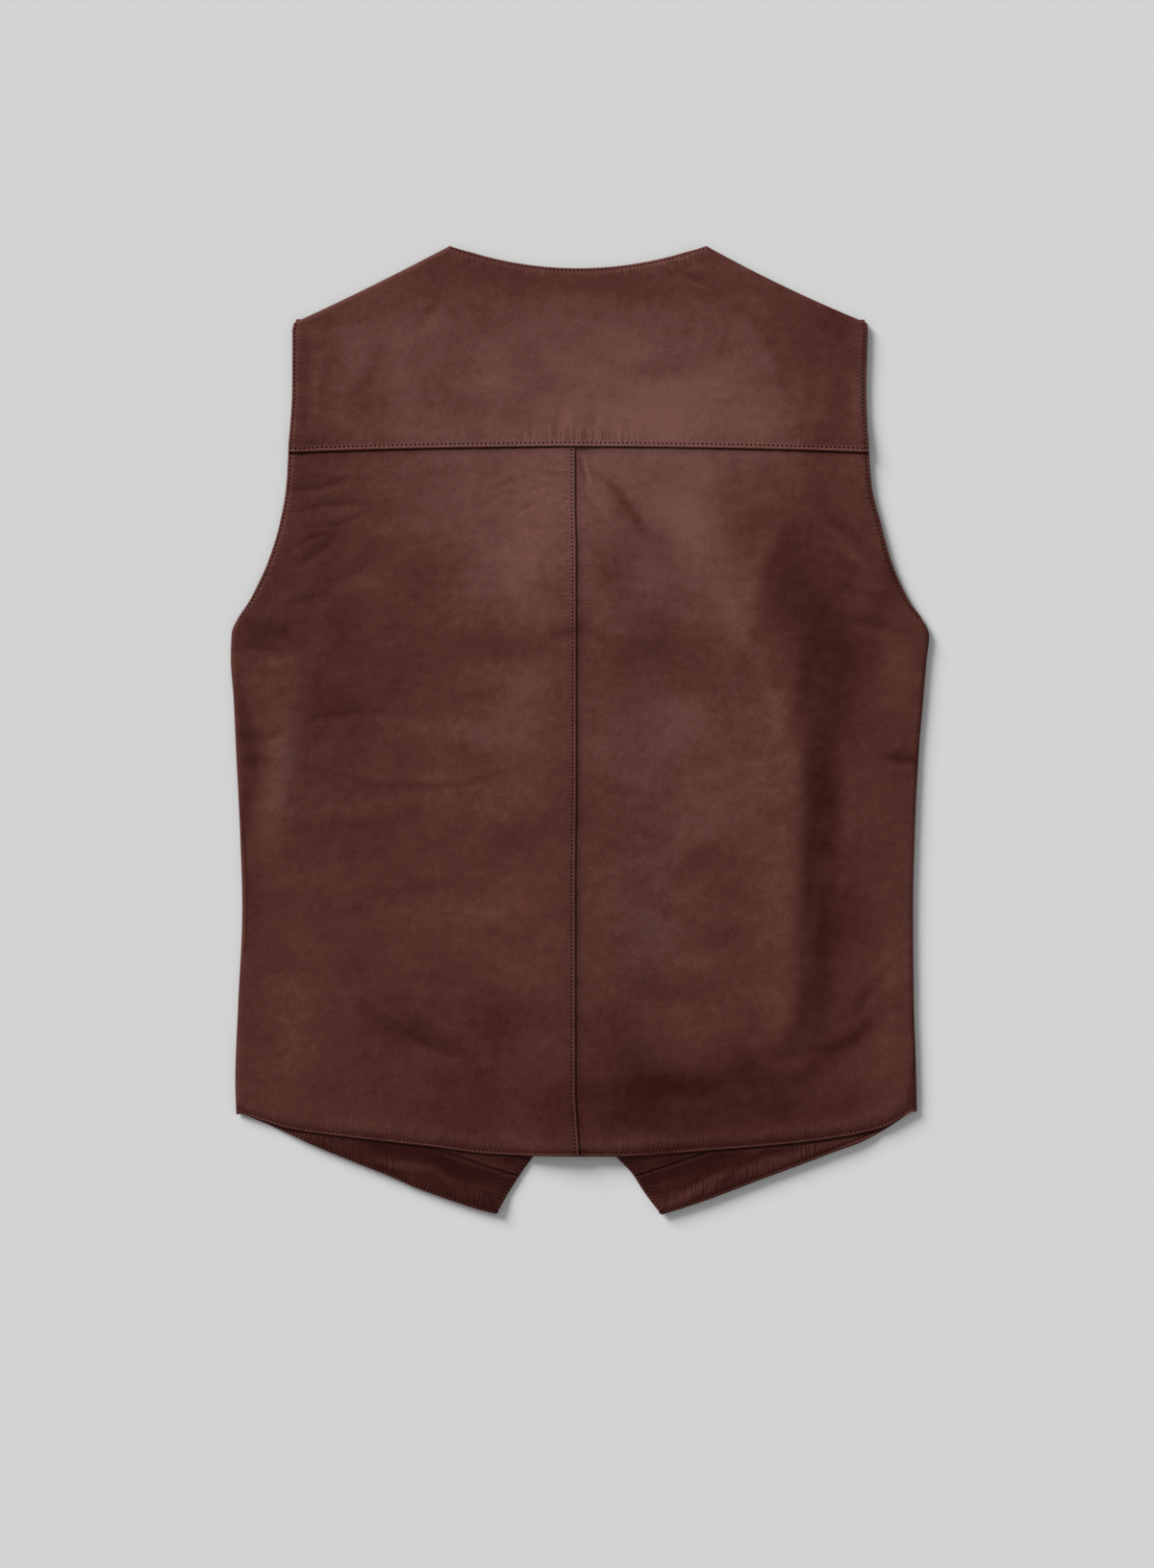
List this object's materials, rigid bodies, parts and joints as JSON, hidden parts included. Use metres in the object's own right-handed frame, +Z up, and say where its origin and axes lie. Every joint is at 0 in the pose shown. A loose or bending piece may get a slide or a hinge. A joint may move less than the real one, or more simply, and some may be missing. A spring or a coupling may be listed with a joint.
{
  "type": "leather vest",
  "caption": "Sleeveless leather vest laid flat on its snapped fronts with the back up: yoke, two back panels with a centre seam, pointed front hems with facings.",
  "frame": {"origin": "on the table, below the middle of the vest's outline as seen from above", "axes": "+X to the right seen from above with the neck away, +Y from the hem towards the neck, +Z up from the table, out of the back"},
  "size_m": [0.5068, 0.705, 0.0106],
  "materials": {
    "leather_outer": "semi-gloss reddish brown grain leather",
    "leather_facing": "dark reddish brown grain leather",
    "snap_metal": "antiqued metal"
  },
  "bodies": {
    "root": {"back_yoke": "leather_outer", "back_panel_left": "leather_outer", "back_panel_right": "leather_outer", "front_left": "leather_outer", "front_right": "leather_outer", "hem_facing_left": "leather_facing", "hem_facing_right": "leather_facing", "front_facing_left": "leather_facing", "front_facing_right": "leather_facing", "snap_cap_1": "snap_metal", "snap_cap_2": "snap_metal", "snap_cap_3": "snap_metal", "snap_cap_4": "snap_metal", "snap_cap_5": "snap_metal"}
  },
  "joints": []
}
